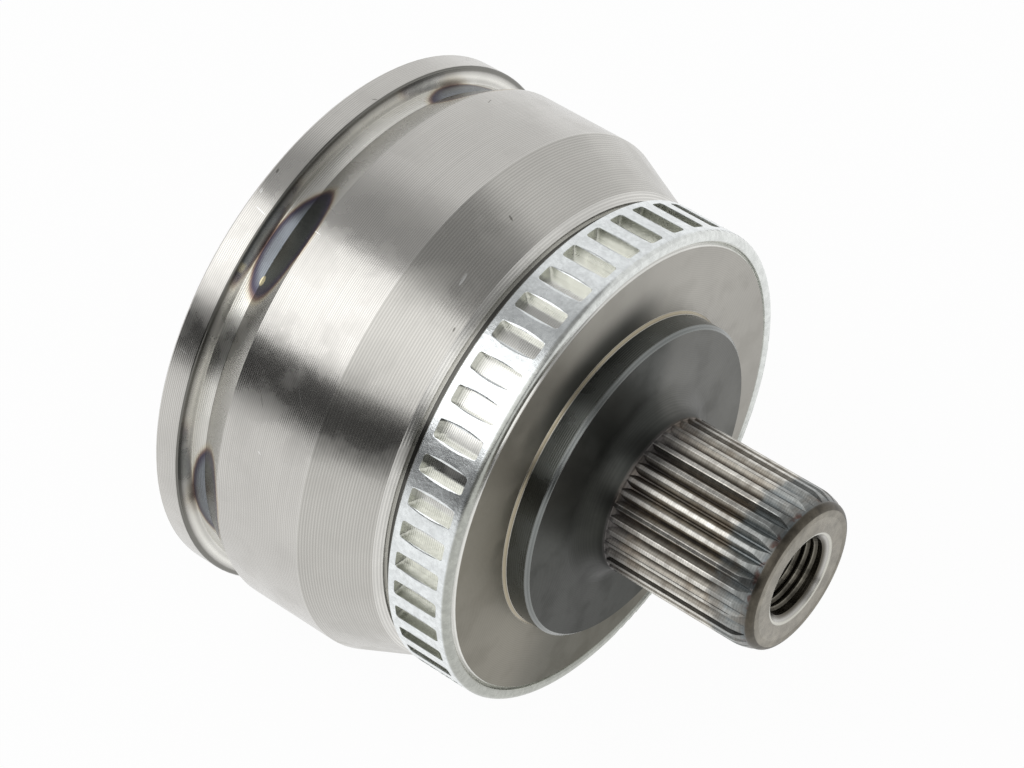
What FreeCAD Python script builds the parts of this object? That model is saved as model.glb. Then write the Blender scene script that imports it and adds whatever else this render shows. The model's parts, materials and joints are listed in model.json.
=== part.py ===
import FreeCAD, Part
import math
import os
import Sketcher
from FreeCAD import Vector

# A fixed ball-type constant-velocity joint. Its axis is X: the splined stub points to +X
# and the open mouth, where the driveshaft comes in, to -X. The origin is the joint's centre,
# where the two shafts' axes always cross. Lengths are millimetres, angles are degrees.

NODES = []

SIZES = {
    # Balls and their paths
    "ball_radius": 9.525,
    "path_radius": 33.7,
    "track_offset": 3.5,
    "track_play": 0.15,
    "track_turn_mouth": 75,
    "track_turn_stub": 31,
    "track_turn_race": 120,
    # Cage and the spherical seats
    "cage_outer": 36.75,
    "cage_inner": 30.8,
    "cage_half_width": 13.2,
    "sphere_play": 0.2,
    "window_play": 0.33,
    "window_slack": 1.7,
    "window_corner": 3.5,
    # Inner race and the driveshaft's spline
    "race_half_width": 12.2,
    "race_edge": 0.8,
    "shaft_root_radius": 14.6,
    "shaft_tip_radius": 13.4,
    "shaft_gap_half": 0.95,
    "shaft_gap_narrow": 0.4,
    "shaft_lead_in": 1.2,
    # Circlip in the inner race's bore
    "clip_centre": 8.6,
    "clip_width": 1.9,
    "clip_play": 0.1,
    "clip_outer": 16.2,
    "clip_inner": 13.9,
    "clip_gap": 8,
    # Mouth, rim and boot seat of the bell
    "mouth_reach": 22.5,
    "mouth_radius": 40,
    "mouth_edge": 0.5,
    "throat_reach": 15.5,
    "rim_radius": 49.3,
    "rim_width": 5.1,
    "rim_step": 0.7,
    "rim_round": 0.45,
    "neck_radius": 46.4,
    "neck_width": 3.6,
    "neck_rise": 5.1,
    # Outside of the bell
    "body_radius": 49.05,
    "body_reach": 8.8,
    "taper_length": 11.8,
    "taper_drop": 5.09,
    "shoulder_edge": 1.25,
    # Back wall, flange face and boss
    "cavity_depth": 30.5,
    "back_reach": 36,
    "back_edge": 0.8,
    "boss_base_radius": 29.6,
    "boss_base_height": 0.5,
    "boss_radius": 29.1,
    "boss_height": 4.9,
    "boss_edge": 0.7,
    # Tone ring
    "ring_seat": 42,
    "ring_wall": 2,
    "ring_gap": 1.95,
    "ring_round": 1.1,
    "ring_back_edge": 0.3,
    "slot_width": 3.25,
    "slot_corner": 0.6,
    "slot_margin": 1.9,
    "slot_margin_bell": 1.5,
    # Splined stub
    "stub_radius": 14.4,
    "stub_reach": 74.3,
    "stub_fillet": 4.2,
    "spline_depth": 0.82,
    "gap_root_half": 0.12,
    "tooth_flank": 0.7,
    "tooth_edge": 0.2,
    "tooth_edge_drop": 0.1,
    "spline_runout": 1.6,
    "spline_lead": 3.4,
    "end_round": 1.3,
    # Threaded bore for the axle bolt
    "bolt_radius": 7.19,
    "bolt_web": 12.8,
    "bolt_sink": 1,
    "sink_edge": 0.125,
    "sink_flare": 0.4,
    "drill_half_angle": 59,
}

# How far a cut starts and ends outside the metal
OVER = 1

# How far a gap between teeth is drawn past their tips, as a share of its last flank
PAST = 0.5

BALLS = 6
SLOTS = 45
STUB_TEETH = 36
SHAFT_TEETH = 33

doc = FreeCAD.newDocument("cv_joint")
sizes = doc.addObject("Spreadsheet::Sheet", "sizes")
for row, (word, value) in enumerate(SIZES.items(), start=1):
    sizes.set(f"A{row}", word)
    sizes.set(f"B{row}", str(value))
    sizes.setAlias(f"B{row}", word)
doc.recompute()


def bound(formula):
    """The formula with each size named as a cell of the sheet."""
    words = sorted(SIZES, key=len, reverse=True)
    out = formula
    for number, word in enumerate(words):
        out = out.replace(word, f"#{number}#")
    for number, word in enumerate(words):
        out = out.replace(f"#{number}#", f"sizes.{word}")
    return out


def value_of(formula):
    """The number that a formula of the sheet's sizes gives now."""
    number = sizes.evalExpression(formula)
    return float(getattr(number, "Value", number))


def origin_part(body, role):
    """One of the body's own planes or axes."""
    return next(item for item in body.Origin.OriginFeatures if item.Role == role)


def new_body(name):
    body = doc.addObject("PartDesign::Body", name)
    body.Label = name
    NODES.append(body)
    return body


def new_sketch(body, name, role, offset=None):
    """An empty sketch on one of the body's planes, moved along its normal by a formula."""
    sketch = body.newObject("Sketcher::SketchObject", name)
    sketch.AttachmentSupport = [(origin_part(body, role), "")]
    sketch.MapMode = "FlatFace"
    if offset:
        sketch.setExpression("AttachmentOffset.Base.z", bound(offset))
    return sketch


def arc_through(start, end, radius, side):
    """The short arc from start to end whose centre lies to the left (1) or right (-1)."""
    chord = end - start
    half = chord.Length / 2
    rise = math.sqrt(max(radius * radius - half * half, 0))
    left = Vector(-chord.y, chord.x, 0).normalize()
    centre = (start + end) / 2 + left * rise * side
    first = math.atan2(start.y - centre.y, start.x - centre.x)
    last = math.atan2(end.y - centre.y, end.x - centre.x)
    if side < 0:
        first, last = last, first
    circle = Part.Circle(centre, Vector(0, 0, 1), radius)
    return Part.ArcOfCircle(circle, first, last)


def pin_point(sketch, item, corner, name, x, y):
    """Ties one corner of a sketch to two formulas."""
    for kind, formula, axis in (("DistanceX", x, "x"), ("DistanceY", y, "y")):
        rule = Sketcher.Constraint(kind, item, corner, value_of(formula))
        number = sketch.addConstraint(rule)
        sketch.renameConstraint(number, f"{name}_{axis}")
        sketch.setExpression(f"Constraints.{name}_{axis}", bound(formula))


def outline(sketch, points, arcs=None):
    """A closed outline through points whose coordinates are formulas of the sizes.

    arcs gives, for the number of a point, the radius and the centre's side of the arc
    that leaves it; every other side is straight."""
    arcs = arcs or {}
    places = [Vector(value_of(x), value_of(y), 0) for x, y in points]
    ends = []
    for number, place in enumerate(places):
        after = places[(number + 1) % len(places)]
        if number in arcs:
            radius, side = arcs[number]
            item = sketch.addGeometry(arc_through(place, after, value_of(radius), side))
            ends.append((item, 1, 2) if side > 0 else (item, 2, 1))
            rule = Sketcher.Constraint("Radius", item, value_of(radius))
            sketch.renameConstraint(sketch.addConstraint(rule), f"arc_{number}")
            sketch.setExpression(f"Constraints.arc_{number}", bound(radius))
        else:
            item = sketch.addGeometry(Part.LineSegment(place, after))
            ends.append((item, 1, 2))
    for number, (item, first, last) in enumerate(ends):
        follower = ends[(number + 1) % len(ends)]
        rule = Sketcher.Constraint("Coincident", item, last, follower[0], follower[1])
        sketch.addConstraint(rule)
    for number, (x, y) in enumerate(points):
        pin_point(sketch, ends[number][0], ends[number][1], f"point_{number}", x, y)


def circle(sketch, x, y, radius):
    """A full circle whose centre and radius are formulas of the sizes."""
    middle = Vector(value_of(x), value_of(y), 0)
    item = sketch.addGeometry(Part.Circle(middle, Vector(0, 0, 1), value_of(radius)))
    pin_point(sketch, item, 3, "centre", x, y)
    rule = Sketcher.Constraint("Radius", item, value_of(radius))
    sketch.renameConstraint(sketch.addConstraint(rule), "size")
    sketch.setExpression("Constraints.size", bound(radius))


def rounded_box(sketch, centre, half_length, half_width, corner):
    """A rectangle along the sketch's x with its four corners rounded."""
    left = f"({centre}) - ({half_length})"
    right = f"({centre}) + ({half_length})"
    bottom = f"-({half_width})"
    top = f"{half_width}"
    points = [
        (f"{left} + {corner}", bottom),
        (f"{right} - {corner}", bottom),
        (right, f"{bottom} + {corner}"),
        (right, f"{top} - {corner}"),
        (f"{right} - {corner}", top),
        (f"{left} + {corner}", top),
        (left, f"{top} - {corner}"),
        (left, f"{bottom} + {corner}"),
    ]
    outline(sketch, points, {number: (corner, 1) for number in (1, 3, 5, 7)})


def revolve(body, name, sketch):
    feature = body.newObject("PartDesign::Revolution", name)
    feature.Profile = sketch
    feature.ReferenceAxis = (sketch, ["H_Axis"])
    feature.Angle = 360
    return feature


def around(body, name, features, copies):
    """Repeats features evenly around the joint's axis."""
    pattern = body.newObject("PartDesign::PolarPattern", name)
    pattern.Originals = features
    pattern.Axis = (origin_part(body, "X_Axis"), [""])
    pattern.Angle = 360
    pattern.Occurrences = copies
    body.Tip = pattern
    return pattern


def ball_track(body, name, centre):
    """A round groove of the ball's size along its path, about a centre on the axis."""
    sketch = new_sketch(body, f"{name}_section", "YZ_Plane", centre)
    circle(sketch, "path_radius", "0", "ball_radius + track_play")
    groove = body.newObject("PartDesign::Groove", name)
    groove.Profile = sketch
    groove.ReferenceAxis = (sketch, ["V_Axis"])
    return groove


def spline_gap(body, name, start, length, side):
    """One gap between two teeth, cut towards -X from start.

    side lists the radius and half width of the gap's corners from its floor to a tooth's
    tip. The last flank is drawn on past the tip, so that nothing is left of the blank."""
    sketch = new_sketch(body, f"{name}_section", "YZ_Plane", start)
    (below, narrow), (tip, wide) = side[-2:]
    beyond = f"({tip}) + (({tip}) - ({below})) * {PAST}"
    spread = f"({wide}) + (({wide}) - ({narrow})) * {PAST}"
    corners = side[:-1] + [(beyond, spread)]
    points = [(radius, f"-({half})") for radius, half in corners]
    points += [(radius, half) for radius, half in reversed(corners)]
    if value_of(side[0][0]) > value_of(tip):
        points.reverse()
    outline(sketch, points)
    pocket = body.newObject("PartDesign::Pocket", name)
    pocket.Profile = sketch
    pocket.setExpression("Length", bound(length))
    return pocket


def seat_start():
    """Where the tone ring's seat begins, behind the bell's shoulder."""
    return "(body_reach + taper_length + shoulder_edge)"


def make_outer_race():
    """The bell and its splined stub, one forging."""
    body = new_body("outer_race")
    sphere = "(cage_outer + sphere_play)"
    throat_radius = f"sqrt({sphere}^2 - throat_reach^2)"
    throat_start = f"mouth_radius - {throat_radius} - mouth_reach"
    neck_start = "-mouth_reach + rim_width"
    taper_end = "body_reach + taper_length"
    taper_radius = "body_radius - taper_drop"
    boss_face = "back_reach + boss_height"
    root = "(stub_radius - spline_depth)"
    bore_end = "cavity_depth + bolt_web"
    points = [
        ("cavity_depth", "0"),
        (f"{bore_end} - bolt_radius / tan(drill_half_angle)", "0"),
        (bore_end, "bolt_radius"),
        ("stub_reach - bolt_sink", "bolt_radius"),
        ("stub_reach - sink_edge", "bolt_radius + bolt_sink"),
        ("stub_reach", "bolt_radius + bolt_sink + sink_flare"),
        ("stub_reach", f"{root} - end_round"),
        ("stub_reach - end_round", root),
        ("stub_reach - end_round - spline_lead", "stub_radius"),
        (f"{boss_face} + stub_fillet", "stub_radius"),
        (boss_face, "stub_radius + stub_fillet"),
        (boss_face, "boss_radius - boss_edge"),
        (f"{boss_face} - boss_edge", "boss_radius"),
        ("back_reach + boss_base_height", "boss_radius"),
        ("back_reach", "boss_base_radius"),
        ("back_reach", "ring_seat - back_edge"),
        ("back_reach - back_edge", "ring_seat"),
        (seat_start(), "ring_seat"),
        (seat_start(), f"{taper_radius} - shoulder_edge"),
        (taper_end, taper_radius),
        ("body_reach", "body_radius"),
        (f"{neck_start} + neck_width + neck_rise", "body_radius"),
        (f"{neck_start} + neck_width", "neck_radius"),
        (f"{neck_start} + rim_step", "neck_radius"),
        (neck_start, "rim_radius - rim_round"),
        (f"{neck_start} - rim_round", "rim_radius"),
        ("-mouth_reach + mouth_edge", "rim_radius"),
        ("-mouth_reach", "rim_radius - mouth_edge"),
        ("-mouth_reach", "mouth_radius"),
        (throat_start, throat_radius),
        ("-throat_reach", throat_radius),
        ("cavity_depth", f"sqrt({sphere}^2 - cavity_depth^2)"),
    ]
    lead_curve = "(spline_lead^2 + spline_depth^2) / (2 * spline_depth)"
    arcs = {
        6: ("end_round", 1),
        7: (lead_curve, 1),
        9: ("stub_fillet", -1),
        24: ("rim_round", 1),
        30: (sphere, -1),
    }
    profile = new_sketch(body, "bell_profile", "XY_Plane")
    outline(profile, points, arcs)
    revolve(body, "bell", profile)

    track = ball_track(body, "ball_track", "-track_offset")
    track.Type = "TwoAngles"
    track.setExpression("Angle", bound("track_turn_mouth"))
    track.setExpression("Angle2", bound("track_turn_stub"))
    end = body.newObject("PartDesign::SubtractiveSphere", "track_end")
    end.setExpression("Radius", bound("ball_radius + track_play"))
    end.setExpression("Placement.Base.x", bound("path_radius * sin(track_turn_stub) - track_offset"))
    end.setExpression("Placement.Base.y", bound("path_radius * cos(track_turn_stub)"))
    around(body, "ball_tracks", [track, end], BALLS)

    spline_start = f"{boss_face} + stub_fillet"
    gap = spline_gap(
        body, "tooth_gap", f"stub_reach + {OVER}", f"stub_reach + {OVER} - ({spline_start})", [
            (root, "gap_root_half"),
            ("stub_radius - tooth_edge_drop", "gap_root_half + tooth_flank"),
            ("stub_radius", "gap_root_half + tooth_flank + tooth_edge"),
        ])
    around(body, "stub_spline", [gap], STUB_TEETH)

    runout = new_sketch(body, "runout_profile", "XY_Plane")
    under = f"{root} - {OVER}"
    curve = "(spline_runout^2 + spline_depth^2) / (2 * spline_depth)"
    outline(runout, [
        (spline_start, under),
        (f"{spline_start} + spline_runout", under),
        (f"{spline_start} + spline_runout", root),
        (spline_start, "stub_radius"),
    ], {2: (curve, -1)})
    body.Tip = revolve(body, "spline_runout", runout)
    return body


def make_tone_ring():
    """The windowed ring that the wheel-speed sensor reads, pressed on the bell's seat."""
    body = new_body("tone_ring")
    front = "back_reach"
    back = f"({seat_start()} + ring_gap)"
    outer = "(ring_seat + ring_wall)"
    profile = new_sketch(body, "ring_profile", "XY_Plane")
    outline(profile, [
        (back, "ring_seat"),
        (f"{front} - ring_back_edge", "ring_seat"),
        (front, "ring_seat + ring_back_edge"),
        (front, f"{outer} - ring_round"),
        (f"{front} - ring_round", outer),
        (f"{back} + ring_back_edge", outer),
        (back, f"{outer} - ring_back_edge"),
    ], {3: ("ring_round", 1)})
    revolve(body, "ring_band", profile)

    window = new_sketch(body, "slot_outline", "XZ_Plane", f"{OVER} - ring_seat")
    first = f"({back} + slot_margin_bell)"
    last = f"({front} - slot_margin)"
    middle = f"({first} + {last}) / 2"
    rounded_box(window, middle, f"({last} - {first}) / 2", "slot_width / 2", "slot_corner")
    slot = body.newObject("PartDesign::Pocket", "slot")
    slot.Profile = window
    slot.setExpression("Length", bound(f"ring_wall + 2 * {OVER}"))
    around(body, "slots", [slot], SLOTS)
    return body


def make_cage():
    """The spherical cage that holds the balls in one plane."""
    body = new_body("ball_cage")
    half = "cage_half_width"
    profile = new_sketch(body, "cage_profile", "XY_Plane")
    outline(profile, [
        (f"-{half}", f"sqrt(cage_inner^2 - {half}^2)"),
        (half, f"sqrt(cage_inner^2 - {half}^2)"),
        (half, f"sqrt(cage_outer^2 - {half}^2)"),
        (f"-{half}", f"sqrt(cage_outer^2 - {half}^2)"),
    ], {0: ("cage_inner", -1), 2: ("cage_outer", 1)})
    revolve(body, "cage_shell", profile)

    half_around = "(ball_radius + window_slack)"
    inside = f"(sqrt(cage_inner^2 - 2 * {half_around}^2) - {OVER})"
    outline_of_window = new_sketch(body, "window_outline", "XZ_Plane", f"-{inside}")
    rounded_box(
        outline_of_window, "0", "ball_radius + window_play", half_around, "window_corner")
    window = body.newObject("PartDesign::Pocket", "window")
    window.Profile = outline_of_window
    window.setExpression("Length", bound(f"cage_outer + {OVER} - {inside}"))
    around(body, "windows", [window], BALLS)
    return body


def make_inner_race():
    """The inner race, splined to the driveshaft."""
    body = new_body("inner_race")
    half = "race_half_width"
    sphere = "(cage_inner - sphere_play)"
    groove_half = "(clip_width / 2 + clip_play)"
    lead = "shaft_lead_in"
    tip = "shaft_tip_radius"
    profile = new_sketch(body, "race_profile", "XY_Plane")
    shoulder = f"sqrt({sphere}^2 - ({half} - race_edge)^2)"
    outline(profile, [
        (f"-{half}", f"{tip} + {lead}"),
        (f"-{half} + {lead}", tip),
        (f"{half} - {lead}", tip),
        (half, f"{tip} + {lead}"),
        (half, f"{shoulder} - race_edge"),
        (f"{half} - race_edge", shoulder),
        (f"-({half} - race_edge)", shoulder),
        (f"-{half}", f"{shoulder} - race_edge"),
    ], {5: (sphere, 1)})
    revolve(body, "race_blank", profile)

    track = ball_track(body, "ball_track", "track_offset")
    track.Midplane = True
    track.setExpression("Angle", bound("track_turn_race"))
    around(body, "ball_tracks", [track], BALLS)

    gap = spline_gap(
        body, "tooth_gap", f"{half} + {OVER}", f"2 * ({half} + {OVER})", [
            ("shaft_root_radius", "shaft_gap_narrow"),
            (tip, "shaft_gap_half"),
        ])
    around(body, "shaft_spline", [gap], SHAFT_TEETH)

    seat = new_sketch(body, "clip_seat_profile", "XY_Plane")
    outline(seat, [
        (f"clip_centre - {groove_half}", f"{tip} - {OVER}"),
        (f"clip_centre + {groove_half}", f"{tip} - {OVER}"),
        (f"clip_centre + {groove_half}", "clip_outer + clip_play"),
        (f"clip_centre - {groove_half}", "clip_outer + clip_play"),
    ])
    groove = body.newObject("PartDesign::Groove", "clip_seat")
    groove.Profile = seat
    groove.ReferenceAxis = (seat, ["H_Axis"])
    groove.Angle = 360
    body.Tip = groove
    return body


def make_circlip():
    """The open spring ring that holds the driveshaft in the inner race."""
    body = new_body("shaft_circlip")
    section = new_sketch(body, "clip_section", "XY_Plane")
    outline(section, [
        ("clip_centre - clip_width / 2", "clip_inner"),
        ("clip_centre + clip_width / 2", "clip_inner"),
        ("clip_centre + clip_width / 2", "clip_outer"),
        ("clip_centre - clip_width / 2", "clip_outer"),
    ])
    ring = revolve(body, "clip_ring", section)
    ring.Midplane = True
    ring.setExpression("Angle", bound("360 deg - 2 * asin(clip_gap / 2 / clip_outer)"))
    body.Tip = ring
    return body


def make_balls():
    """One ball for each pair of tracks, in the plane where the tracks cross."""
    for number in range(BALLS):
        turn = 360 * number / BALLS
        ball = doc.addObject("Part::Sphere", f"ball_{number + 1}")
        ball.Label = f"ball_{number + 1}"
        ball.setExpression("Radius", bound("ball_radius"))
        pitch = bound("sqrt(path_radius^2 - track_offset^2)")
        ball.setExpression("Placement.Base.y", f"{pitch} * cos({turn})")
        ball.setExpression("Placement.Base.z", f"{pitch} * sin({turn})")
        NODES.append(ball)


make_outer_race()
make_tone_ring()
make_cage()
make_inner_race()
make_circlip()
make_balls()
doc.recompute()

for item in doc.Objects:
    if "Invalid" in item.State or "Error" in item.State:
        raise RuntimeError(f"{item.Label} did not build: {item.State}")

os.makedirs("parts", exist_ok=True)
for node in NODES:
    shape = node.Shape
    if shape.isNull() or not shape.isValid() or len(shape.Solids) != 1:
        raise RuntimeError(f"{node.Label} is not one sound solid")
    shape.exportStep(f"parts/{node.Label}.step")
    print(node.Label, "volume", round(shape.Volume, 1), "faces", len(shape.Faces))
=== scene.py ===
import json
import math

import bmesh
import bpy
from mathutils import Matrix, Vector


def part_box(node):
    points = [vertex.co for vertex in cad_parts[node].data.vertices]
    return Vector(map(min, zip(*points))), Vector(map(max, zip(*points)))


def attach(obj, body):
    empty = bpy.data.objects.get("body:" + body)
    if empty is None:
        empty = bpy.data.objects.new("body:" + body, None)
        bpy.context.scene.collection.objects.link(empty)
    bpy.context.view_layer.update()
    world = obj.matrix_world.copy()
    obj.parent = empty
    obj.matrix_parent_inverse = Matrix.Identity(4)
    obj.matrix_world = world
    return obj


# A fixed ball-type constant-velocity joint, seen from above and from its splined end. The
# joint's axis is X: the splined stub points to +X and the open mouth to -X. Lengths are metres.

MM = 0.001

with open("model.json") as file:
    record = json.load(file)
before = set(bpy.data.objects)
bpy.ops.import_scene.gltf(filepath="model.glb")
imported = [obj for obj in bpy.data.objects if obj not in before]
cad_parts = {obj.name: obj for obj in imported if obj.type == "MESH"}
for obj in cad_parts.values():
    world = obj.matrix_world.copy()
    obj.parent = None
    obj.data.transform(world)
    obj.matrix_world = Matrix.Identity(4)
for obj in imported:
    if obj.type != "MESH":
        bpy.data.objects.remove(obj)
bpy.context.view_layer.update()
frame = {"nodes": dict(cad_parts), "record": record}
nodes = frame["nodes"]
record = frame["record"]
mounts = {mount["name"]: mount for mount in record["mounts"]}

# Stations along the axis of the outer race, from the mouth to the end of the stub
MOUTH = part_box("outer_race")[0].x
RIM_BACK = MOUTH + 5.1 * MM
WALL_FOOT = RIM_BACK + 0.7 * MM
NECK_BACK = RIM_BACK + 3.6 * MM
CONE_BACK = NECK_BACK + 5.1 * MM
BODY_BACK = 8.8 * MM
TAPER_BACK = 20.6 * MM
SHOULDER = 21.85 * MM
RING_MOUTH_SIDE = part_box("tone_ring")[0].x
BACK_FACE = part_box("tone_ring")[1].x
BOSS_FACE = mounts["hub_face"]["pos_m"][0]
SPLINE_START = BOSS_FACE + 4.2 * MM
STUB_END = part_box("outer_race")[1].x
SPLINE_END = STUB_END - 1.3 * MM

# Radii on the outer race
NECK_RADIUS = 46.4 * MM
TRACK_FLOOR = 43.5 * MM
RING_SEAT = 42.0 * MM
BOSS_BASE = 29.6 * MM
BOSS_RADIUS = 29.1 * MM
STUB_RADIUS = 14.4 * MM
STUB_ROOT = 13.58 * MM
BORE_RADIUS = mounts["axle_bolt_thread"]["dims"]["r_mm"] * MM
BORE_SINK = 1.0 * MM

BALLS = 6
WINDOWS = 45
STEEL = (0.555, 0.542, 0.515, 1)

# The two soft lamps hang side by side at this angle about the joint's axis, in degrees
LAMP_ANGLE = 125.6
LAMP_DISTANCE = 1.5
LAMP_WIDTH = 1.27


class Graph:
    """A material whose colour, gloss and relief are formulas of the place on the piece."""

    def __init__(self, name):
        self.material = bpy.data.materials.new(name)
        self.material.use_nodes = True
        self.tree = self.material.node_tree
        self.shader = self.tree.nodes["Principled BSDF"]
        self.place = self.node("ShaderNodeTexCoord").outputs["Object"]
        split = self.node("ShaderNodeSeparateXYZ", Vector=self.place)
        self.x, self.y, self.z = split.outputs
        around = self.math("ADD", self.math("POWER", self.y, 2), self.math("POWER", self.z, 2))
        self.radius = self.math("SQRT", around)
        self.turn = self.math("ARCTAN2", self.z, self.y)

    def node(self, kind, **values):
        """A new node, with its inputs linked or set by name."""
        made = self.tree.nodes.new(kind)
        for name, value in values.items():
            self.put(made.inputs[name], value)
        return made

    def put(self, socket, value):
        if isinstance(value, bpy.types.NodeSocket):
            self.tree.links.new(value, socket)
        else:
            socket.default_value = value

    def math(self, operation, first, second=0.0, clamp=False):
        made = self.tree.nodes.new("ShaderNodeMath")
        made.operation = operation
        made.use_clamp = clamp
        self.put(made.inputs[0], first)
        self.put(made.inputs[1], second)
        return made.outputs[0]

    def times(self, *values):
        """The product of several values."""
        total = values[0]
        for value in values[1:]:
            total = self.math("MULTIPLY", total, value)
        return total

    def rise(self, value, low, high):
        """0 below low, 1 above high, and a soft step between them."""
        made = self.tree.nodes.new("ShaderNodeMapRange")
        made.interpolation_type = "SMOOTHSTEP"
        self.put(made.inputs["Value"], value)
        made.inputs["From Min"].default_value = low
        made.inputs["From Max"].default_value = high
        return made.outputs["Result"]

    def band(self, value, low, high, soft):
        """1 from low to high, 0 outside, with soft edges."""
        up = self.rise(value, low - soft, low + soft)
        down = self.rise(value, high - soft, high + soft)
        return self.math("SUBTRACT", up, down, clamp=True)

    def facing(self, degrees, low, high):
        """1 on the side of the piece that faces a turn in degrees, from cosine low to high."""
        cosine = self.math("COSINE", self.math("SUBTRACT", self.turn, math.radians(degrees)))
        return self.rise(cosine, low, high)

    def inverse(self, value):
        return self.math("SUBTRACT", 1.0, value, clamp=True)

    def blend(self, share, first, second):
        """Colour first where share is 0 and colour second where it is 1."""
        made = self.tree.nodes.new("ShaderNodeMix")
        made.data_type = "RGBA"
        self.put(made.inputs["Factor"], share)
        self.put(made.inputs["A"], first)
        self.put(made.inputs["B"], second)
        return made.outputs["Result"]

    def level(self, share, first, second):
        """The number first where share is 0 and second where it is 1."""
        made = self.tree.nodes.new("ShaderNodeMix")
        made.data_type = "FLOAT"
        self.put(made.inputs["Factor"], share)
        self.put(made.inputs["A"], first)
        self.put(made.inputs["B"], second)
        return made.outputs["Result"]

    def shade(self, colour, factor):
        """The colour made lighter or darker by a factor."""
        made = self.tree.nodes.new("ShaderNodeVectorMath")
        made.operation = "SCALE"
        self.put(made.inputs[0], colour)
        self.put(made.inputs["Scale"], factor)
        return made.outputs[0]

    def noise(self, place, scale, detail=2.0, roughness=0.5):
        made = self.node(
            "ShaderNodeTexNoise", Vector=place, Scale=scale, Detail=detail, Roughness=roughness)
        return made.outputs["Fac"]

    def polar(self, along, around, across=0.0):
        """A place whose three parts are the axis, the turn and the radius, each with a scale."""
        made = self.tree.nodes.new("ShaderNodeCombineXYZ")
        self.put(made.inputs[0], self.times(self.x, along))
        self.put(made.inputs[1], self.times(self.turn, around))
        self.put(made.inputs[2], self.times(self.radius, across))
        return made.outputs[0]

    def lines(self, value, pitch):
        """Fine turned lines along a value, from 0 to 1."""
        wave = self.math("SINE", self.times(value, 2 * math.pi / pitch))
        return self.math("ADD", self.times(wave, 0.5), 0.5)

    def vary(self, value, share):
        """A factor about 1 that a value from 0 to 1 moves by a share either way."""
        return self.level(value, 1 - share, 1 + share)

    def mark(self, along, around, length, width, tilt=0.0):
        """1 inside a small oval on the piece, at a station, a turn and a slant in degrees."""
        offset = self.math("SUBTRACT", self.x, along)
        arc = self.times(self.math("SUBTRACT", self.turn, math.radians(around)), self.radius)
        slant = math.radians(tilt)
        on = self.math("ADD", self.times(offset, math.cos(slant)), self.times(arc, math.sin(slant)))
        off = self.math("SUBTRACT", self.times(arc, math.cos(slant)), self.times(offset, math.sin(slant)))
        squares = self.math(
            "ADD",
            self.math("POWER", self.math("DIVIDE", on, length / 2), 2),
            self.math("POWER", self.math("DIVIDE", off, width / 2), 2))
        return self.inverse(self.rise(squares, 0.5, 1.2))

    def bump(self, height, depth, strength=1.0):
        made = self.node("ShaderNodeBump", Height=height, Distance=depth, Strength=strength)
        return made.outputs["Normal"]

    def finish(self, colour, roughness, normal=None, metallic=1.0, anisotropic=0.0):
        self.put(self.shader.inputs["Base Color"], colour)
        self.put(self.shader.inputs["Roughness"], roughness)
        self.shader.inputs["Metallic"].default_value = metallic
        if normal is not None:
            self.put(self.shader.inputs["Normal"], normal)
        if anisotropic:
            tangent = self.tree.nodes.new("ShaderNodeTangent")
            tangent.direction_type = "RADIAL"
            tangent.axis = "X"
            self.shader.inputs["Anisotropic"].default_value = anisotropic
            self.shader.inputs["Anisotropic Rotation"].default_value = 0.25
            self.put(self.shader.inputs["Tangent"], tangent.outputs[0])
        return self.material


def heat_tint(graph, colour, outer_side):
    """The oval marks that hardening the ball tracks leaves on the neck, one over each track."""
    start = WALL_FOOT - 0.1 * MM
    middle = (start + CONE_BACK) / 2
    half_length = (CONE_BACK - start) / 2
    half_turn = math.radians(13.6)
    slant = 2.8 * MM
    step = 2 * math.pi / BALLS
    shifted = graph.math("ADD", graph.turn, step / 2 + math.radians(0.9))
    nearest = graph.math("SUBTRACT", graph.math("FLOORED_MODULO", shifted, step), step / 2)
    station = graph.math("ADD", graph.x, graph.times(nearest, slant))
    along = graph.math("DIVIDE", graph.math("SUBTRACT", station, middle), half_length)
    about = graph.math("DIVIDE", nearest, half_turn)
    squares = graph.math("ADD", graph.math("POWER", along, 2), graph.math("POWER", about, 2))
    ragged = graph.times(graph.math("SUBTRACT", graph.noise(graph.place, 300, 3), 0.5), 0.07)
    distance = graph.math("ADD", graph.math("SQRT", squares), ragged)
    straw = graph.times(graph.inverse(graph.rise(distance, 0.98, 1.14)), outer_side, 0.55)
    brown = graph.times(graph.inverse(graph.rise(distance, 0.95, 1.04)), outer_side, 0.85)
    blue = graph.times(graph.inverse(graph.rise(distance, 0.88, 0.98)), outer_side)
    grey = graph.times(graph.inverse(graph.rise(distance, 0.64, 0.92)), outer_side)
    cone = graph.rise(graph.x, NECK_BACK - 0.1 * MM, NECK_BACK + 0.1 * MM)
    fade = graph.level(graph.noise(graph.place, 130, 2), 0.7, 1.25)
    core = graph.shade(graph.blend(cone, (0.19, 0.205, 0.225, 1), (0.085, 0.092, 0.088, 1)), fade)
    colour = graph.blend(straw, colour, (0.50, 0.42, 0.28, 1))
    colour = graph.blend(brown, colour, (0.15, 0.085, 0.075, 1))
    colour = graph.blend(blue, colour, (0.07, 0.062, 0.09, 1))
    colour = graph.blend(grey, colour, core)
    spot = graph.mark(NECK_BACK + 0.2 * MM, 128.2, 1.1 * MM, 1.9 * MM)
    return graph.blend(graph.times(spot, 0.8), colour, (0.62, 0.56, 0.36, 1))


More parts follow.
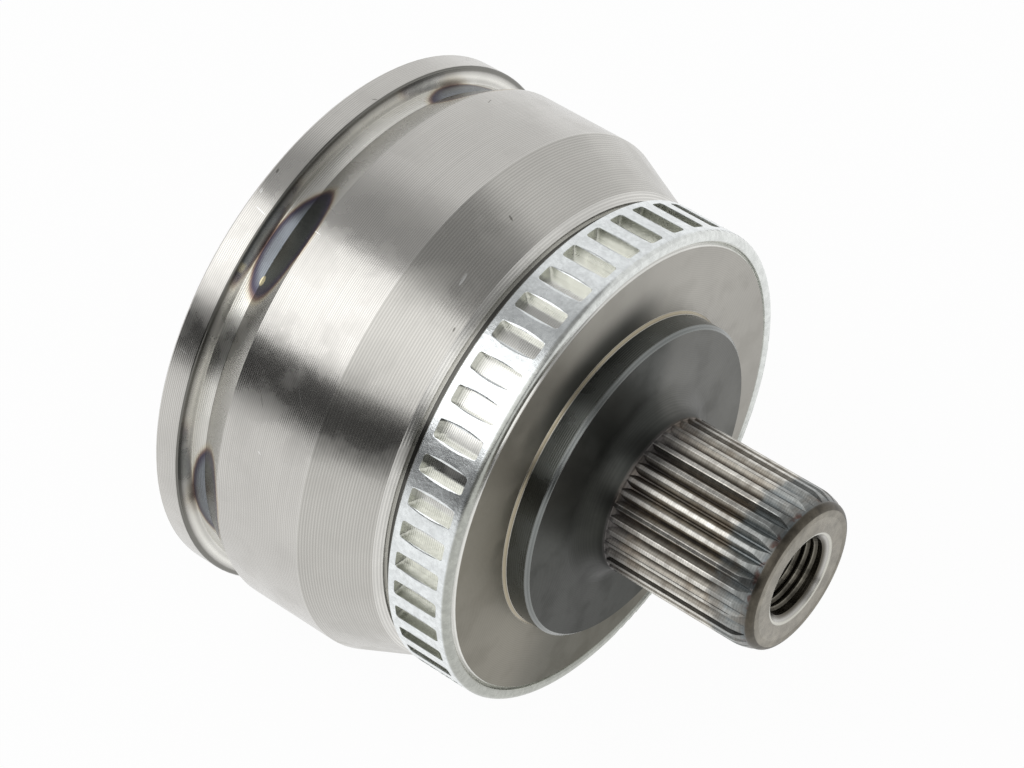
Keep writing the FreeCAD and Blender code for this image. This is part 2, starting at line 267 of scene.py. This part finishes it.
def stub_colour(graph):
    """The splined stub: bright flanks, oily at its foot, cool grey near its hardened end."""
    x, radius = graph.x, graph.radius
    height = graph.rise(radius, STUB_ROOT + 0.04 * MM, STUB_ROOT + 0.48 * MM)
    tip = graph.rise(radius, STUB_RADIUS - 0.13 * MM, STUB_RADIUS - 0.03 * MM)
    grain = graph.noise(graph.polar(900, 9), 1.0, 4, 0.65)
    ticks = graph.lines(x, 0.45 * MM)
    # The roots between the teeth are dark: partly oil, partly painted shade in the gaps.
    colour = graph.blend(height, (0.085, 0.076, 0.064, 1), (0.40, 0.375, 0.33, 1))
    colour = graph.blend(tip, colour, (0.74, 0.72, 0.67, 1))
    oil = graph.inverse(graph.rise(x, SPLINE_START + 1.5 * MM, SPLINE_START + 8 * MM))
    foot = graph.inverse(graph.rise(x, SPLINE_START + 0.4 * MM, SPLINE_START + 2 * MM))
    oil = graph.math("MAXIMUM", graph.times(oil, 0.78), graph.times(foot, 0.92))
    colour = graph.blend(oil, colour, (0.062, 0.058, 0.058, 1))
    wander = graph.times(graph.math("SUBTRACT", graph.noise(graph.place, 230, 3), 0.5), 9 * MM)
    cool = graph.rise(graph.math("ADD", x, wander), SPLINE_END - 7.8 * MM, SPLINE_END - 5.4 * MM)
    colour = graph.blend(graph.times(cool, 0.7), colour, (0.20, 0.225, 0.235, 1))
    patches = graph.rise(graph.noise(graph.polar(230, 1.4), 1.0, 4, 0.6), 0.45, 0.7)
    colour = graph.blend(graph.times(patches, 0.5), colour, (0.17, 0.135, 0.10, 1))
    colour = graph.shade(colour, graph.times(graph.vary(grain, 0.55), graph.vary(ticks, 0.07)))
    stain = graph.rise(graph.noise(graph.place, 420, 3), 0.50, 0.62)
    rust = graph.times(stain, graph.band(x, SPLINE_END - 0.7 * MM, SPLINE_END + 0.3 * MM, 0.4 * MM))
    colour = graph.blend(graph.times(rust, 0.8), colour, (0.10, 0.05, 0.038, 1))
    end = graph.rise(x, SPLINE_END - 0.1 * MM, SPLINE_END + 0.3 * MM)
    worn = graph.noise(graph.place, 500, 4, 0.65)
    collar = graph.shade((0.09, 0.08, 0.064), graph.times(graph.vary(grain, 0.3), graph.vary(worn, 0.7)))
    return graph.blend(end, colour, collar), end


def wear(graph, colour, place):
    """The few nicks and scratches of the rim and the body, each with its station in mm and turn."""
    scars = [
        (-19.2, 116.8, 2.6, 0.20, 12), (-21.2, 108.5, 0.9, 0.35, 80), (-21.3, 113.4, 1.0, 0.45, 75),
        (-18.2, 84.0, 1.0, 0.25, -35), (-20.3, 147.6, 2.0, 0.16, 10), (-3.2, 148.0, 2.6, 0.12, 60),
        (-8.2, 115.0, 1.4, 0.16, 5), (15.2, 90.5, 1.1, 0.4, 20), (16.3, 107.5, 2.6, 0.5, 84),
        (-6.1, 66.0, 2.0, 0.16, 70), (3.4, 143.5, 3.4, 0.12, 55), (-20.0, 318.0, 2.8, 0.2, 40),
        (1.4, 251.0, 4.0, 0.14, -20), (19.6, 117.0, 0.9, 0.3, 85), (-1.0, 158.0, 0.8, 0.2, 30),
    ]
    bright = dark = None
    for number, (along, around, length, width, tilt) in enumerate(scars):
        turn = around if around < 180 else around - 360
        mark = graph.mark(along * MM, turn, length * MM, width * MM, tilt)
        if number % 2:
            dark = mark if dark is None else graph.math("MAXIMUM", dark, mark)
        else:
            bright = mark if bright is None else graph.math("MAXIMUM", bright, mark)
    colour = graph.blend(graph.times(dark, place, 0.7), colour, (0.12, 0.115, 0.10, 1))
    return graph.blend(graph.times(bright, place, 0.75), colour, (0.85, 0.85, 0.83, 1))


def forged_steel():
    """The outer race: turned outside, ground inside, dark at the boss, oily at the spline."""
    graph = Graph("turned_steel")
    x, radius = graph.x, graph.radius
    cloud = graph.noise(graph.place, 55, 4)
    speck = graph.noise(graph.place, 900, 2)
    streak = graph.noise(graph.polar(5200, 1.6), 1.0, 3, 0.6)

    outer_side = graph.rise(radius, TRACK_FLOOR - 0.2 * MM, TRACK_FLOOR + 0.2 * MM)
    outer_side = graph.math("MAXIMUM", outer_side, graph.rise(x, TAPER_BACK - 0.3 * MM, TAPER_BACK))
    shoulder = graph.band(x, TAPER_BACK, SHOULDER - 0.05 * MM, 0.05 * MM)
    seat = graph.times(
        graph.band(x, SHOULDER, BACK_FACE, 0.05 * MM),
        graph.rise(radius, RING_SEAT - 3 * MM, RING_SEAT - 2 * MM))
    cone = graph.times(graph.band(x, NECK_BACK, CONE_BACK, 0.1 * MM), outer_side)
    rim_edge = graph.times(
        graph.band(x, RIM_BACK - 0.34 * MM, RIM_BACK + 0.12 * MM, 0.06 * MM),
        graph.rise(radius, NECK_RADIUS + MM, NECK_RADIUS + 1.4 * MM))
    v_line = graph.times(graph.band(x, NECK_BACK - 0.12 * MM, NECK_BACK + 0.12 * MM, 0.1 * MM), outer_side)
    taper = graph.times(graph.band(x, BODY_BACK, TAPER_BACK, 0.05 * MM), outer_side)
    back = graph.times(
        graph.rise(x, BACK_FACE - 0.1 * MM, BACK_FACE - 0.02 * MM),
        graph.rise(radius, BOSS_BASE - 0.05 * MM, BOSS_BASE))
    boss_foot = graph.times(
        graph.band(x, BACK_FACE + 0.04 * MM, BACK_FACE + 0.46 * MM, 0.04 * MM),
        graph.rise(radius, BOSS_RADIUS - 0.2 * MM, BOSS_RADIUS - 0.05 * MM))
    boss_side = graph.times(
        graph.band(x, BACK_FACE + 0.52 * MM, BOSS_FACE - 0.7 * MM, 0.05 * MM),
        graph.rise(radius, BOSS_RADIUS - MM, BOSS_RADIUS - 0.5 * MM))
    boss_edge = graph.times(
        graph.band(x, BOSS_FACE - 0.7 * MM, BOSS_FACE - 0.04 * MM, 0.04 * MM),
        graph.rise(radius, BOSS_RADIUS - MM, BOSS_RADIUS - 0.8 * MM))
    boss_front = graph.times(
        graph.rise(x, BOSS_FACE - 0.08 * MM, BOSS_FACE - 0.02 * MM),
        graph.rise(radius, STUB_ROOT - 0.4 * MM, STUB_ROOT - 0.2 * MM))
    stub = graph.times(
        graph.rise(x, SPLINE_START - 0.6 * MM, SPLINE_START),
        graph.rise(radius, STUB_ROOT - 2.2 * MM, STUB_ROOT - 2.1 * MM))
    face = graph.rise(x, STUB_END - 0.06 * MM, STUB_END - 0.02 * MM)
    bore = graph.times(
        graph.rise(x, SPLINE_START - 8 * MM, SPLINE_START - 7.9 * MM),
        graph.inverse(graph.rise(radius, BORE_RADIUS + 0.1 * MM, BORE_RADIUS + 0.9 * MM)))
    sink = graph.times(
        graph.rise(x, STUB_END - 1.3 * MM, STUB_END - MM),
        graph.band(radius, BORE_RADIUS + 0.85 * MM, BORE_RADIUS + 1.35 * MM, 0.08 * MM))

    # Painted shade: the next three masks darken set sides of the back face and the boss front, standing for
    # the dark floor and room that these faces reflect.
    near = graph.facing(-150, -0.9, 0.7)
    painted_gloom_shade = graph.times(graph.facing(101, 0.80, 0.97), 0.85)
    painted_low_gloom_shade = graph.times(graph.facing(256, 0.80, 0.98), 0.7)
    close = graph.inverse(graph.rise(radius, BOSS_BASE + 2 * MM, BOSS_BASE + 8 * MM))
    neck = graph.times(graph.band(x, RIM_BACK + 0.2 * MM, NECK_BACK, 0.05 * MM), outer_side)
    # Painted shade: the narrow gap between the shoulder and the tone ring is painted near-black.
    painted_gap_shade = graph.times(seat, graph.band(x, SHOULDER + 0.3 * MM, RING_MOUTH_SIDE + 0.1 * MM, 0.05 * MM))
    colour = graph.blend(outer_side, (0.36, 0.35, 0.335, 1), STEEL)
    colour = graph.blend(shoulder, colour, (0.66, 0.65, 0.62, 1))
    # The ring's seat: bright ground steel, painted lighter still to offset the shade inside the ring's
    # windows, so part real colour and part painted light.
    colour = graph.blend(seat, colour, (0.72, 0.715, 0.68, 1))
    colour = graph.blend(painted_gap_shade, colour, (0.10, 0.098, 0.09, 1))
    # Painted light: the neck and the cone are painted lighter to offset the shade of the rim's wall and the
    # dark reflections there.
    colour = graph.blend(neck, colour, (0.72, 0.71, 0.67, 1))
    colour = graph.blend(cone, colour, (0.53, 0.52, 0.49, 1))
    colour = graph.blend(graph.times(v_line, 0.6), colour, (0.22, 0.21, 0.19, 1))
    colour = graph.blend(graph.times(rim_edge, 0.85), colour, (0.12, 0.118, 0.105, 1))
    colour = graph.blend(taper, colour, (0.50, 0.489, 0.46, 1))
    # Painted highlight: a thin light line along the edge between the body and the taper.
    ridge = graph.times(graph.band(x, BODY_BACK - 0.14 * MM, BODY_BACK, 0.04 * MM), outer_side)
    colour = graph.blend(graph.times(ridge, 0.5), colour, (0.78, 0.77, 0.74, 1))
    colour = heat_tint(graph, colour, outer_side)
    # The back face's colour, with painted shade on its near side, on its upper side close to the boss and on
    # its low side.
    brown = graph.blend(near, (0.43, 0.415, 0.38, 1), (0.235, 0.22, 0.18, 1))
    brown = graph.blend(graph.times(painted_gloom_shade, close), brown, (0.05, 0.053, 0.048, 1))
    brown = graph.blend(painted_low_gloom_shade, brown, (0.10, 0.098, 0.078, 1))
    colour = graph.blend(back, colour, brown)
    colour = graph.blend(boss_foot, colour, (0.34, 0.30, 0.22, 1))
    colour = graph.blend(boss_side, colour, (0.15, 0.158, 0.15, 1))
    colour = graph.blend(boss_edge, colour, (0.20, 0.21, 0.205, 1))
    # The boss front's colour, with painted shade on its near side, on its upper side and about the turn of
    # 212 degrees.
    dull = graph.blend(near, (0.145, 0.145, 0.135, 1), (0.058, 0.060, 0.054, 1))
    dull = graph.blend(painted_gloom_shade, dull, (0.055, 0.058, 0.054, 1))
    dull = graph.blend(graph.times(graph.facing(212, 0.75, 0.99), 0.6), dull, (0.03, 0.031, 0.027, 1))
    inner = graph.inverse(graph.rise(radius, STUB_RADIUS + 2 * MM, STUB_RADIUS + 7 * MM))
    dull = graph.shade(dull, graph.times(graph.vary(cloud, 0.25), graph.level(inner, 1.0, 0.78)))
    colour = graph.blend(boss_front, colour, dull)
    tooth, end = stub_colour(graph)
    colour = graph.blend(stub, colour, tooth)
    worn = graph.noise(graph.place, 480, 4, 0.65)
    end_face = graph.shade((0.27, 0.25, 0.21), graph.vary(worn, 0.6))
    colour = graph.blend(face, colour, end_face)
    colour = graph.blend(bore, colour, (0.11, 0.10, 0.082, 1))
    colour = graph.blend(sink, colour, (0.52, 0.51, 0.46, 1))
    colour = wear(graph, colour, outer_side)

    turned = graph.lines(x, 0.38 * MM)
    coarse = graph.lines(x, 0.44 * MM)
    faced = graph.lines(radius, 0.34 * MM)
    flat = graph.math("MAXIMUM", back, boss_front)
    cut = graph.level(taper, turned, coarse)
    cut = graph.level(flat, cut, graph.times(faced, 0.5))
    plain = graph.math("MAXIMUM", stub, graph.math("MAXIMUM", bore, graph.inverse(outer_side)))
    plain = graph.times(plain, graph.inverse(graph.math("MAXIMUM", boss_side, flat)))
    grooves = graph.level(plain, cut, 0.5)
    depth = graph.level(graph.noise(graph.polar(60, 1.2), 1.0, 2), 0.14, 0.34)
    groove_shade = graph.math("ADD", 1.0, graph.times(graph.math("SUBTRACT", grooves, 0.5), depth))
    colour = graph.shade(colour, graph.times(graph.vary(cloud, 0.12), graph.vary(streak, 0.12), groove_shade))

    roughness = graph.level(outer_side, 0.34, 0.235)
    roughness = graph.level(taper, roughness, 0.26)
    roughness = graph.level(back, roughness, 0.40)
    roughness = graph.level(graph.math("MAXIMUM", boss_side, boss_edge), roughness, 0.24)
    roughness = graph.level(boss_front, roughness, 0.40)
    roughness = graph.level(stub, roughness, 0.35)
    roughness = graph.level(graph.times(end, stub), roughness, 0.42)
    film = graph.times(graph.rise(graph.noise(graph.place, 150, 4), 0.46, 0.66), 0.09)
    roughness = graph.math("ADD", roughness, graph.times(film, outer_side, graph.inverse(stub)))
    roughness = graph.math("ADD", roughness, graph.times(graph.math("SUBTRACT", speck, 0.5), 0.06))

    relief = graph.level(stub, cut, graph.lines(x, 0.45 * MM))
    relief = graph.level(end, relief, 0.5)
    relief = graph.times(relief, graph.level(taper, 1.3, 1.5))
    comb = graph.noise(graph.polar(2600, 9), 1.0, 1)
    relief = graph.math("ADD", relief, graph.times(comb, 0.6))
    relief = graph.math("ADD", relief, graph.times(graph.noise(graph.place, 160, 2), 4.0))
    normal = graph.bump(relief, 0.008 * MM)
    return graph.finish(colour, roughness, normal, anisotropic=0.75)


def rolled_edge(graph):
    """How far punching drew the ring's skin down beside a window, most at mid-length."""
    half_width = 1.625 * MM
    skin_width = 0.5 * MM
    window_start = RING_MOUTH_SIDE + 1.5 * MM
    window_end = BACK_FACE - 1.9 * MM
    middle = (window_start + window_end) / 2
    half_length = (window_end - window_start) / 2
    step = 2 * math.pi / WINDOWS
    shifted = graph.math("ADD", graph.turn, step / 2)
    nearest = graph.math("SUBTRACT", graph.math("FLOORED_MODULO", shifted, step), step / 2)
    across = graph.times(graph.math("ABSOLUTE", nearest), graph.radius)
    along = graph.math("DIVIDE", graph.math("SUBTRACT", graph.x, middle), half_length)
    bow = graph.math("SUBTRACT", 1.0, graph.times(along, along), clamp=True)
    reach = graph.math("ADD", half_width, graph.times(bow, skin_width))
    left = graph.math("SUBTRACT", reach, across)
    depth = graph.math("DIVIDE", left, skin_width, clamp=True)
    return graph.times(depth, depth, graph.rise(bow, 0.0, 0.1))


def zinc_plate():
    """The tone ring: bright zinc with a fine crystalline mottle, dull on the window walls."""
    graph = Graph("zinc_plate")
    mottle = graph.noise(graph.place, 1500, 3, 0.65)
    cloud = graph.noise(graph.place, 170, 3)
    spangle = graph.rise(graph.noise(graph.place, 700, 2, 0.4), 0.42, 0.6)
    wall = graph.rise(graph.radius, RING_SEAT + 1.7 * MM, RING_SEAT + 1.95 * MM)
    front = graph.rise(graph.x, BACK_FACE - 1.0 * MM, BACK_FACE - 0.5 * MM)
    skin = graph.math("MAXIMUM", wall, front)
    # Painted shade: the ring's front band is darker on its low, near side, standing for the shaded floor that
    # it reflects.
    painted_ring_low_shade = graph.facing(-140, -0.75, 0.2)
    band = graph.blend(painted_ring_low_shade, (0.74, 0.76, 0.74, 1), (0.42, 0.43, 0.395, 1))
    colour = graph.blend(skin, (0.61, 0.62, 0.575, 1), (0.80, 0.83, 0.835, 1))
    colour = graph.blend(front, colour, band)
    speckle = graph.times(graph.vary(mottle, 0.2), graph.vary(spangle, 0.05))
    colour = graph.shade(colour, speckle)
    roughness = graph.level(cloud, 0.16, 0.34)
    relief = graph.math("SUBTRACT", graph.times(mottle, 0.14), rolled_edge(graph))
    normal = graph.bump(relief, 0.16 * MM)
    return graph.finish(colour, roughness, normal)


def cage_steel():
    """The cage: case-hardened, dark, ground on its spherical faces."""
    graph = Graph("cage_steel")
    cloud = graph.noise(graph.place, 120, 4)
    streak = graph.noise(graph.polar(2600, 2.0), 1.0, 3, 0.6)
    colour = graph.blend(cloud, (0.16, 0.155, 0.15, 1), (0.30, 0.29, 0.275, 1))
    colour = graph.shade(colour, graph.level(streak, 0.85, 1.12))
    roughness = graph.level(cloud, 0.28, 0.45)
    return graph.finish(colour, roughness, graph.bump(streak, 0.006 * MM, 0.5), anisotropic=0.3)


def race_steel():
    """The inner race: ground and lightly oiled, with darker unground ends."""
    graph = Graph("race_steel")
    cloud = graph.noise(graph.place, 150, 4)
    streak = graph.noise(graph.polar(3600, 2.0), 1.0, 3, 0.6)
    end = graph.rise(graph.math("ABSOLUTE", graph.x), 11.4 * MM, 12.1 * MM)
    colour = graph.blend(end, (0.48, 0.47, 0.45, 1), (0.27, 0.26, 0.245, 1))
    colour = graph.shade(colour, graph.level(cloud, 0.82, 1.14))
    roughness = graph.level(end, graph.level(cloud, 0.2, 0.34), 0.42)
    return graph.finish(colour, roughness, graph.bump(streak, 0.005 * MM, 0.5), anisotropic=0.3)


def spring_steel():
    """The circlip: blackened spring wire with a little wear."""
    graph = Graph("spring_steel")
    cloud = graph.noise(graph.place, 500, 4)
    worn = graph.rise(cloud, 0.55, 0.75)
    colour = graph.blend(worn, (0.05, 0.05, 0.053, 1), (0.28, 0.27, 0.26, 1))
    return graph.finish(colour, graph.level(cloud, 0.3, 0.5), graph.bump(cloud, 0.01 * MM, 0.4))


def ball_steel():
    """The balls: lapped to a mirror, with a thin film of oil."""
    graph = Graph("ball_steel")
    film = graph.noise(graph.place, 180, 3)
    colour = graph.blend(film, (0.66, 0.66, 0.66, 1), (0.76, 0.76, 0.75, 1))
    return graph.finish(colour, graph.level(film, 0.04, 0.12))


def thread_steel():
    """The thread in the stub's bore: dark with oil, worn bright on its crests."""
    graph = Graph("thread_steel")
    grime = graph.noise(graph.place, 700, 4)
    crest = graph.inverse(graph.rise(graph.radius, BORE_RADIUS - 0.42 * MM, BORE_RADIUS - 0.2 * MM))
    colour = graph.blend(crest, (0.10, 0.092, 0.075, 1), (0.26, 0.245, 0.205, 1))
    colour = graph.shade(colour, graph.level(grime, 0.5, 1.3))
    return graph.finish(colour, graph.level(grime, 0.2, 0.45), graph.bump(grime, 0.02 * MM, 0.4))


def dress(node, material):
    """Gives a CAD node its material."""
    piece = nodes[node]
    piece.data.materials.clear()
    piece.data.materials.append(material)


def axle_thread():
    """The internal thread of the stub's bore, one closed helical ridge on the bore's wall."""
    pitch = 1.5 * MM
    depth = 0.42 * MM
    sunk = 0.03 * MM
    steps_a_turn = 48
    length = mounts["axle_bolt_thread"]["dims"]["length_mm"] * MM
    bore_end = STUB_END - BORE_SINK - length
    start = bore_end + 2 * pitch
    stop = STUB_END - BORE_SINK - 0.9 * pitch
    turns = (stop - start) / pitch
    steps = int(turns * steps_a_turn)
    section = [(-0.45 * pitch, sunk), (-0.08 * pitch, -depth), (0.08 * pitch, -depth), (0.45 * pitch, sunk)]
    mesh = bmesh.new()
    rings = []
    for step in range(steps + 1):
        angle = 2 * math.pi * step / steps_a_turn
        place = start + pitch * step / steps_a_turn
        ring = []
        for along, across in section:
            radius = BORE_RADIUS + across
            ring.append(mesh.verts.new((place + along, radius * math.cos(angle), radius * math.sin(angle))))
        rings.append(ring)
    for before, after in zip(rings, rings[1:]):
        for side in range(len(section)):
            other = (side + 1) % len(section)
            mesh.faces.new((before[side], before[other], after[other], after[side]))
    mesh.faces.new(reversed(rings[0]))
    mesh.faces.new(rings[-1])
    bmesh.ops.recalc_face_normals(mesh, faces=mesh.faces)
    data = bpy.data.meshes.new("axle_thread")
    mesh.to_mesh(data)
    mesh.free()
    data.materials.append(thread_steel())
    piece = bpy.data.objects.new("axle_thread", data)
    bpy.context.scene.collection.objects.link(piece)
    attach(piece, "outer_race")


def floor():
    """A pale floor under the joint. The camera and gloss see it white, with a soft shadow."""
    reach = 6.0
    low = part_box("outer_race")[0].z
    data = bpy.data.meshes.new("floor")
    corners = [(-reach, -reach, low), (reach, -reach, low), (reach, reach, low), (-reach, reach, low)]
    data.from_pydata(corners, [], [(0, 1, 2, 3)])
    material = bpy.data.materials.new("pale_floor")
    material.use_nodes = True
    tree = material.node_tree
    tree.nodes.clear()
    paint = tree.nodes.new("ShaderNodeBsdfDiffuse")
    paint.inputs["Color"].default_value = (0.86, 0.86, 0.855, 1)
    white = tree.nodes.new("ShaderNodeEmission")
    white.inputs["Strength"].default_value = 1.0
    mixed = tree.nodes.new("ShaderNodeMixShader")
    seen = seen_directly(tree)
    share = tree.nodes.new("ShaderNodeMath")
    share.operation = "MULTIPLY"
    tree.links.new(seen, share.inputs[0])
    share.inputs[1].default_value = 0.96
    tree.links.new(share.outputs[0], mixed.inputs[0])
    tree.links.new(paint.outputs[0], mixed.inputs[1])
    tree.links.new(white.outputs[0], mixed.inputs[2])
    output = tree.nodes.new("ShaderNodeOutputMaterial")
    tree.links.new(mixed.outputs[0], output.inputs["Surface"])
    data.materials.append(material)
    piece = bpy.data.objects.new("floor", data)
    bpy.context.scene.collection.objects.link(piece)


def seen_directly(tree):
    """1 for rays from the camera, and for those off gloss or through glass."""
    path = tree.nodes.new("ShaderNodeLightPath")
    first = tree.nodes.new("ShaderNodeMath")
    first.operation = "MAXIMUM"
    tree.links.new(path.outputs["Is Camera Ray"], first.inputs[0])
    tree.links.new(path.outputs["Is Glossy Ray"], first.inputs[1])
    second = tree.nodes.new("ShaderNodeMath")
    second.operation = "MAXIMUM"
    tree.links.new(first.outputs[0], second.inputs[0])
    tree.links.new(path.outputs["Is Transmission Ray"], second.inputs[1])
    return second.outputs[0]


def studio():
    """The room round the joint: a pale wall behind it, a dim ceiling and a dark near side.

    The camera sees plain white there. The level depends on the angle about the joint's axis,
    from the far horizon at 0, over the ceiling at 90, to the near horizon at 180 degrees. Each
    end of the room has its own levels, and the two blend where the joint stands."""
    world = bpy.data.worlds.new("studio")
    bpy.context.scene.world = world
    world.use_nodes = True
    tree = world.node_tree
    tree.nodes.clear()
    place = tree.nodes.new("ShaderNodeTexCoord")
    split = tree.nodes.new("ShaderNodeSeparateXYZ")
    tree.links.new(place.outputs["Generated"], split.inputs[0])
    angle = tree.nodes.new("ShaderNodeMath")
    angle.operation = "ARCTAN2"
    tree.links.new(split.outputs["Z"], angle.inputs[0])
    tree.links.new(split.outputs["Y"], angle.inputs[1])
    share = tree.nodes.new("ShaderNodeMath")
    share.operation = "MULTIPLY_ADD"
    tree.links.new(angle.outputs[0], share.inputs[0])
    share.inputs[1].default_value = 0.5 / math.pi
    share.inputs[2].default_value = 0.5
    behind_mouth = [
        (-180, 0.95), (-8, 0.95), (2, 0.87), (60, 0.87), (80, 0.40), (98, 0.40),
        (104, 0.35), (124, 0.62), (147, 0.45), (150, 0.09), (156, 0.04), (174, 0.05), (178, 0.90),
    ]
    beyond_stub = [
        (-180, 0.95), (-8, 0.95), (2, 0.84), (50, 0.84), (62, 0.30), (96, 0.30),
        (104, 0.35), (124, 0.50), (147, 0.30), (150, 0.09), (156, 0.04), (174, 0.05), (178, 0.90),
    ]
    side = tree.nodes.new("ShaderNodeMapRange")
    side.inputs["From Min"].default_value = -0.25
    side.inputs["From Max"].default_value = 0.15
    tree.links.new(split.outputs["X"], side.inputs["Value"])
    room = tree.nodes.new("ShaderNodeMix")
    room.data_type = "RGBA"
    tree.links.new(side.outputs["Result"], room.inputs["Factor"])
    for socket, levels in (("A", behind_mouth), ("B", beyond_stub)):
        ramp = tree.nodes.new("ShaderNodeValToRGB")
        tree.links.new(share.outputs[0], ramp.inputs[0])
        steps = ramp.color_ramp.elements
        for number, (degrees, grey) in enumerate(levels):
            step = steps[number] if number < 2 else steps.new(1.0)
            step.position = degrees / 360 + 0.5
            step.color = (grey, grey, grey, 1)
        tree.links.new(ramp.outputs[0], room.inputs[socket])
    path = tree.nodes.new("ShaderNodeLightPath")
    chosen = tree.nodes.new("ShaderNodeMix")
    chosen.data_type = "RGBA"
    tree.links.new(path.outputs["Is Camera Ray"], chosen.inputs["Factor"])
    tree.links.new(room.outputs["Result"], chosen.inputs["A"])
    chosen.inputs["B"].default_value = (1, 1, 1, 1)
    back = tree.nodes.new("ShaderNodeBackground")
    tree.links.new(chosen.outputs["Result"], back.inputs["Color"])
    back.inputs["Strength"].default_value = 1.0
    output = tree.nodes.new("ShaderNodeOutputWorld")
    tree.links.new(back.outputs[0], output.inputs["Surface"])


def softbox(name, degrees, distance, length, width, middle_x, radiance):
    """A soft lamp parallel to the joint's axis, at an angle about it, facing the joint."""
    data = bpy.data.lights.new(name, "AREA")
    data.shape = "RECTANGLE"
    data.size = length
    data.size_y = width
    data.energy = radiance * math.pi * length * width
    lamp = bpy.data.objects.new(name, data)
    angle = math.radians(degrees)
    out = Vector((0, math.cos(angle), math.sin(angle)))
    along = Vector((1, 0, 0))
    up = out.cross(along)
    turn = Matrix((along, up, out)).transposed().to_4x4()
    lamp.matrix_world = Matrix.Translation(out * distance + Vector((middle_x, 0, 0))) @ turn
    lamp.visible_camera = False
    bpy.context.scene.collection.objects.link(lamp)


def camera():
    """The camera at the photograph's angle."""
    azimuth = math.radians(40.708)
    elevation = math.radians(46.863)
    roll = math.radians(-1.806)
    place = Vector((0.29069, -0.32162, 0.45914))
    back = Vector((
        math.sin(azimuth) * math.cos(elevation),
        -math.cos(azimuth) * math.cos(elevation),
        math.sin(elevation)))
    level = Vector((math.cos(azimuth), math.sin(azimuth), 0))
    upright = back.cross(level)
    right = level * math.cos(roll) + upright * math.sin(roll)
    up = back.cross(right)
    data = bpy.data.cameras.new("camera")
    data.sensor_width = 36
    data.lens = 129.97
    data.clip_start = 0.01
    data.clip_end = 50
    piece = bpy.data.objects.new("camera", data)
    piece.matrix_world = Matrix.Translation(place) @ Matrix((right, up, back)).transposed().to_4x4()
    bpy.context.scene.collection.objects.link(piece)
    bpy.context.scene.camera = piece


dress("outer_race", forged_steel())
dress("tone_ring", zinc_plate())
dress("ball_cage", cage_steel())
dress("inner_race", race_steel())
dress("shaft_circlip", spring_steel())
balls = ball_steel()
for number in range(BALLS):
    dress(f"ball_{number + 1}", balls)
axle_thread()
floor()
studio()
softbox("near_softbox", LAMP_ANGLE, LAMP_DISTANCE, 2.4, LAMP_WIDTH, -1.2, 1.25)
softbox("far_softbox", LAMP_ANGLE, LAMP_DISTANCE, 4.0, LAMP_WIDTH, 2.0, 0.95)
camera()
bpy.context.scene.view_settings.view_transform = "Standard"
